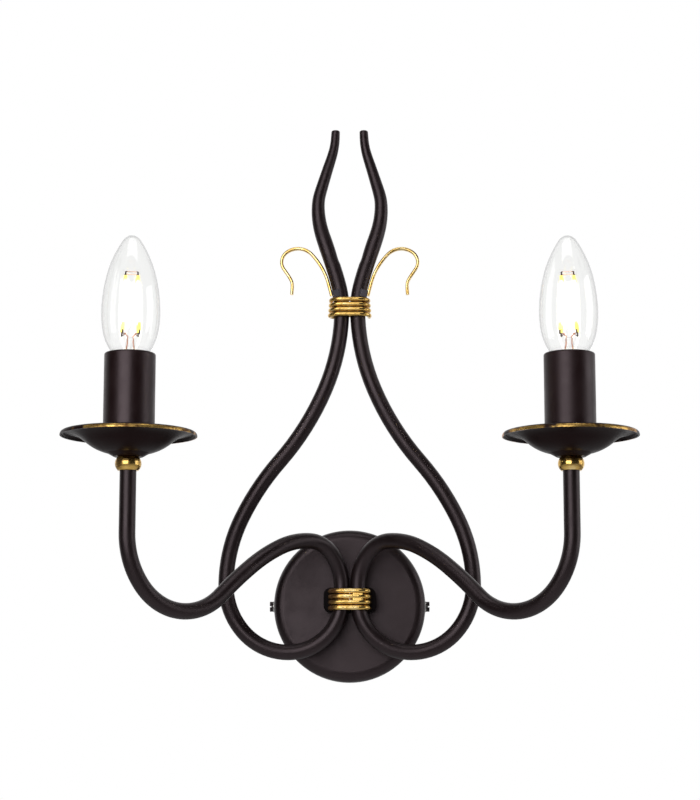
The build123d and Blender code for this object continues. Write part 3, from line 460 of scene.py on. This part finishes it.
def filament_material():
    """Glowing rods: white in the middle, yellow towards both ends."""
    material, n, shader, place = new_material("filament")
    low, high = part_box("bulb_filaments_left")
    z = n.parts(place)["Z"]
    foot = n.remap(z, *along(low.z, ROD_FOOT), 1.0, 0.0)
    top = n.remap(z, *along(high.z, ROD_TOP), 0.0, 1.0)
    ends = n.math("MAXIMUM", foot, top)
    n.link(n.mix(ends, ROD_WHITE, ROD_YELLOW), shader.inputs["Emission Color"])
    speck = n.swing(n.noise(place, ROD_SPECK, 2.0), 0.9, 1.1, 0.3)
    glow = n.math("MULTIPLY", n.remap(ends, 0.0, 1.0, *ROD_GLOW), speck)
    n.link(glow, shader.inputs["Emission Strength"])
    shader.inputs["Base Color"].default_value = ROD_COAT
    shader.inputs["Roughness"].default_value = 0.5
    return material


PIN_WAY = (0.0045, 0.0049)   # from the bulb's axis, where the leads end and the dark pins begin
CROWN_WAY = (0.0235, 0.0285)             # from the leads' foot, where the paler crowns begin
PIN_DARK = (0.06, 0.03, 0.022, 1)
LEAD_COPPER = (0.62, 0.27, 0.17, 1)
CROWN_COPPER = (0.85, 0.6, 0.5, 1)
LEAD_MARKS = 1400.0
LEAD_METAL = 0.9


def lead_material(side):
    """Copper-plated leads with dark pins at the filaments."""
    material, n, shader, place = new_material("leads_%s" % side)
    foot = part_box("bulb_supports_%s" % side)[0].z
    high = n.remap(n.parts(place)["Z"], *along(foot, CROWN_WAY))
    copper = n.mix(high, LEAD_COPPER, CROWN_COPPER)
    dark = n.remap(n.length(from_candle(n, place, side)), *PIN_WAY)
    n.link(n.mix(dark, copper, PIN_DARK), shader.inputs["Base Color"])
    n.link(n.swing(n.noise(place, LEAD_MARKS, 2.0), 0.3, 0.5), shader.inputs["Roughness"])
    shader.inputs["Metallic"].default_value = LEAD_METAL
    return material


clear_glass = glass_material()
filament = filament_material()
leads = {side: lead_material(side) for side in HANDS}

# ------------------------------------------------------------------ finishes on the nodes
dressed = {
    brown_paint: "backplate scroll_left scroll_right arm_left arm_right",
    sleeve_paint: "sleeve_left sleeve_right",
    boss_shade_black: "boss",
    tab_steel: "root_tab_left root_tab_right",
    gold_band: "lower_band",
    gold_coil: "upper_band",
    gold_curl: "tendril_left tendril_right",
    gold_ball: "ball_left ball_right",
    pan_material("left", 0.22): "drip_pan_left",
    pan_material("right", 0.02): "drip_pan_right",
    black_screw: "side_screw_left side_screw_right",
    zinc: (
        "wall_bracket boss_screws block_screw nipple_left nipple_right lock_nut_left lock_nut_right "
        "side_washer_left side_washer_right"
    ),
    brass: (
        "earth_screw clamp_screws screw_shell_left screw_shell_right "
        "centre_contact_left centre_contact_right"
    ),
    white_plastic: "terminal_block wire_bush",
    holder_plastic: "lampholder_left lampholder_right bulb_insulator_left bulb_insulator_right",
    brown_wire: "live_wire_left live_wire_right",
    blue_wire: "neutral_wire_left neutral_wire_right",
    green_wire: "earth_wire",
    nickel: "bulb_cap_left bulb_cap_right bulb_tip_left bulb_tip_right",
    clear_glass: "bulb_glass_left bulb_glass_right bulb_stem_left bulb_stem_right",
    leads["left"]: "bulb_supports_left",
    leads["right"]: "bulb_supports_right",
    filament: "bulb_filaments_left bulb_filaments_right",
}
for material, names in dressed.items():
    for name in names.split():
        piece = nodes[name]
        piece.data.materials.clear()
        piece.data.materials.append(material)

# ------------------------------------------------------------------ new pieces
MERGE = 1e-7


def finish_mesh(name, bm, material, body, slot, *replaced):
    """Turn a bmesh into a piece of the model."""
    bmesh.ops.remove_doubles(bm, verts=bm.verts, dist=MERGE)
    bmesh.ops.recalc_face_normals(bm, faces=bm.faces)
    mesh = bpy.data.meshes.new(name)
    bm.to_mesh(mesh)
    bm.free()
    mesh.shade_smooth()
    mesh.materials.append(material)
    piece = bpy.data.objects.new(name, mesh)
    scene.collection.objects.link(piece)
    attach(piece, body)
    if replaced:
        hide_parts(*replaced)


CAP_ROOT = 0.00055           # depth of the rolled thread
CAP_PITCH = 0.0028
CAP_PLAIN = 0.0012           # smooth collar at both ends, and the way in which the thread starts
CAP_WALL = 0.0003
CAP_ROWS = 72
CAP_STEPS = 72


def rolled_cap(side):
    """Screw cap of a bulb with its rolled thread, in place of the plain one."""
    name = "bulb_cap_%s" % side
    low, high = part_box(name)
    radius = (high.x - low.x) / 2
    height = high.z - low.z
    inner = radius - CAP_WALL - CAP_ROOT
    bm = bmesh.new()
    rows = [height * (row / CAP_ROWS - 0.5) for row in range(CAP_ROWS + 1)]
    wall = [bm.verts.new((radius, 0, z)) for z in rows]
    wall += [bm.verts.new((inner, 0, height / 2)), bm.verts.new((inner, 0, -height / 2))]
    edges = [bm.edges.new(pair) for pair in zip(wall, wall[1:] + wall[:1])]
    bmesh.ops.spin(
        bm,
        geom=wall + edges,
        cent=(0, 0, 0),
        axis=(0, 0, 1),
        angle=2 * math.pi,
        steps=CAP_STEPS,
        use_merge=True,
    )
    for vert in bm.verts:
        if vert.co.xy.length < radius - CAP_WALL:
            continue
        turn = math.atan2(vert.co.y, vert.co.x)
        wave = 0.5 - 0.5 * math.cos(2 * math.pi * vert.co.z / CAP_PITCH - turn)
        to_end = height / 2 - abs(vert.co.z)
        fade = min(1.0, max(0.0, to_end / CAP_PLAIN - 1.0))
        vert.co.xy *= 1.0 - CAP_ROOT * wave * fade / radius
    bmesh.ops.translate(bm, verts=bm.verts, vec=(low + high) / 2)
    finish_mesh("rolled_cap_%s" % side, bm, nickel, "bulb_%s" % side, "nickel_cap", name)


STEM_WIRE_R = 0.0003
STEM_WIRE_SIDES = 10
STEM_WIRE_TURN = math.radians(170.0)     # from +X on the right, mirrored on the left
STEM_WIRE = (                # out from the bulb's axis, and up from the stem's foot
    (0.0024, 0.0007),
    (0.0024, 0.0035),
    (0.0018, 0.008),
    (0.0012, 0.0125),
    (0.0013, 0.016),
)


def stem_wires(side, hand):
    """Two wires sealed in a glass stem, up to the leads that leave its top."""
    low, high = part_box("bulb_stem_%s" % side)
    foot = Vector(((low.x + high.x) / 2, (low.y + high.y) / 2, low.z))
    bm = bmesh.new()
    for turn in (STEM_WIRE_TURN, STEM_WIRE_TURN + math.pi):
        ray = Vector((hand * math.cos(turn), math.sin(turn), 0))
        line = [foot + ray * out + Vector((0, 0, up)) for out, up in STEM_WIRE]
        start = bmesh.ops.create_circle(
            bm, cap_ends=True, segments=STEM_WIRE_SIDES, radius=STEM_WIRE_R
        )
        ring = start["verts"]
        bmesh.ops.translate(bm, verts=ring, vec=line[0])
        edges = list({edge for vert in ring for edge in vert.link_edges})
        for here, there in zip(line, line[1:]):
            grown = bmesh.ops.extrude_edge_only(bm, edges=edges)["geom"]
            ring = [part for part in grown if isinstance(part, bmesh.types.BMVert)]
            edges = [part for part in grown if isinstance(part, bmesh.types.BMEdge) and part.is_boundary]
            bmesh.ops.translate(bm, verts=ring, vec=there - here)
        bmesh.ops.contextual_create(bm, geom=edges)
    finish_mesh("stem_wires_%s" % side, bm, leads[side], "bulb_%s" % side, "support_steel")


def smooth_glass(side):
    """Glass of a bulb with an even surface, from the solid's own shape."""
    name = "bulb_glass_%s" % side
    bm = bmesh.new()
    bm.from_mesh(nodes[name].data)
    finish_mesh("clear_glass_%s" % side, bm, clear_glass, "bulb_%s" % side, "clear_glass", name)


for side, hand in HANDS.items():
    rolled_cap(side)
    stem_wires(side, hand)
    smooth_glass(side)

# ------------------------------------------------------------------ camera and lamps
SENSOR = 36.0                # millimetres, as the lens
LENS = 90.0
CAMERA_PLACE = (0.00019, -1.3043, -0.0701)
CAMERA_TILT = math.radians(99.0)         # 9 degrees above level

camera_data = bpy.data.cameras.new("camera")
camera_data.sensor_width = SENSOR
camera_data.lens = LENS
camera = bpy.data.objects.new("camera", camera_data)
camera.location = CAMERA_PLACE
camera.rotation_euler = (CAMERA_TILT, 0.0, 0.0)
scene.collection.objects.link(camera)
scene.camera = camera
scene.view_settings.view_transform = "Standard"


def area_light(name, place, target, width, height, power):
    """Rectangular soft light."""
    data = bpy.data.lights.new(name, "AREA")
    data.shape = "RECTANGLE"
    data.size = width
    data.size_y = height
    data.energy = power
    light = bpy.data.objects.new(name, data)
    light.location = place
    direction = Vector(target) - Vector(place)
    light.rotation_euler = direction.to_track_quat("-Z", "Y").to_euler()
    scene.collection.objects.link(light)


area_light("key", (-0.52, -1.35, 0.36), (0, -0.06, 0.06), 1.15, 1.2, 13.5)
area_light("fill", (1.5, -0.2, 0.3), (0, -0.06, 0.06), 0.9, 1.2, 6.0)
area_light("top", (0.0, -0.5, 1.5), (0, -0.06, 0.1), 1.2, 0.8, 5.0)

# ------------------------------------------------------------------ backdrop and floor
WHITE = (1, 1, 1, 1)
ROOM_COLOR = (0.97, 0.98, 1.0, 1)
ROOM_LIGHT = 0.3             # on everything but gloss
ROOM_GLOSS = 0.03            # in gloss that doesn't mirror the backdrop
MIRRORED = (0.1, 0.75)       # Y of a mirrored ray, where the backdrop begins to show and shows in full
BACKDROP_EDGE_SHADE = 0.7       # backdrop seen through one wall of a bulb, along its edge, dimmed as painted shade
ONE_WALL = 2.5               # surfaces crossed: one wall has two, two walls have four
FLOOR_Z = -0.9
FLOOR_HALF = 4.0
FLOOR_COLOR = (0.8, 0.8, 0.8, 1)


def make_world():
    """White backdrop for the eye, for glass and for gloss from behind, dimmed as painted shade where
    seen through one wall of a bulb, and soft light for the rest.
    """
    world = bpy.data.worlds.new("studio")
    scene.world = world
    world.use_nodes = True
    world.node_tree.nodes.clear()
    n = Nodes(world.node_tree)
    path = n.add("ShaderNodeLightPath").outputs
    heading = n.parts(n.add("ShaderNodeTexCoord").outputs["Generated"])
    mirrored = n.math("MULTIPLY", path["Is Glossy Ray"], n.remap(heading["Y"], *MIRRORED))
    seen = n.math("MAXIMUM", path["Is Camera Ray"], path["Is Transmission Ray"])
    seen = n.math("MAXIMUM", seen, mirrored)
    lit = n.add("ShaderNodeBackground")
    lit.inputs["Color"].default_value = ROOM_COLOR
    n.link(n.remap(path["Is Glossy Ray"], 0.0, 1.0, ROOM_LIGHT, ROOM_GLOSS), lit.inputs["Strength"])
    white = n.add("ShaderNodeBackground")
    white.inputs["Color"].default_value = WHITE
    one_wall = n.math("LESS_THAN", path["Transmission Depth"], ONE_WALL)
    edge_shade = n.math("MULTIPLY", path["Is Transmission Ray"], one_wall)
    n.link(n.remap(edge_shade, 0.0, 1.0, 1.0, BACKDROP_EDGE_SHADE), white.inputs["Strength"])
    out = n.add("ShaderNodeOutputWorld")
    n.link(n.mix_shaders(seen, lit.outputs[0], white.outputs[0]), out.inputs["Surface"])


def make_floor():
    """Pale floor that is white to the eye and through glass."""
    bm = bmesh.new()
    bmesh.ops.create_grid(bm, x_segments=1, y_segments=1, size=FLOOR_HALF)
    mesh = bpy.data.meshes.new("floor")
    bm.to_mesh(mesh)
    bm.free()
    floor = bpy.data.objects.new("floor", mesh)
    floor.location = (0, 0, FLOOR_Z)
    scene.collection.objects.link(floor)
    material = bpy.data.materials.new("floor")
    material.use_nodes = True
    material.node_tree.nodes.clear()
    n = Nodes(material.node_tree)
    path = n.add("ShaderNodeLightPath").outputs
    seen = n.math("MAXIMUM", path["Is Camera Ray"], path["Is Transmission Ray"])
    pale = n.add("ShaderNodeBsdfDiffuse")
    pale.inputs["Color"].default_value = FLOOR_COLOR
    white = n.add("ShaderNodeEmission")
    white.inputs["Color"].default_value = WHITE
    out = n.add("ShaderNodeOutputMaterial")
    n.link(n.mix_shaders(seen, pale.outputs[0], white.outputs[0]), out.inputs["Surface"])
    mesh.materials.append(material)


make_world()
make_floor()
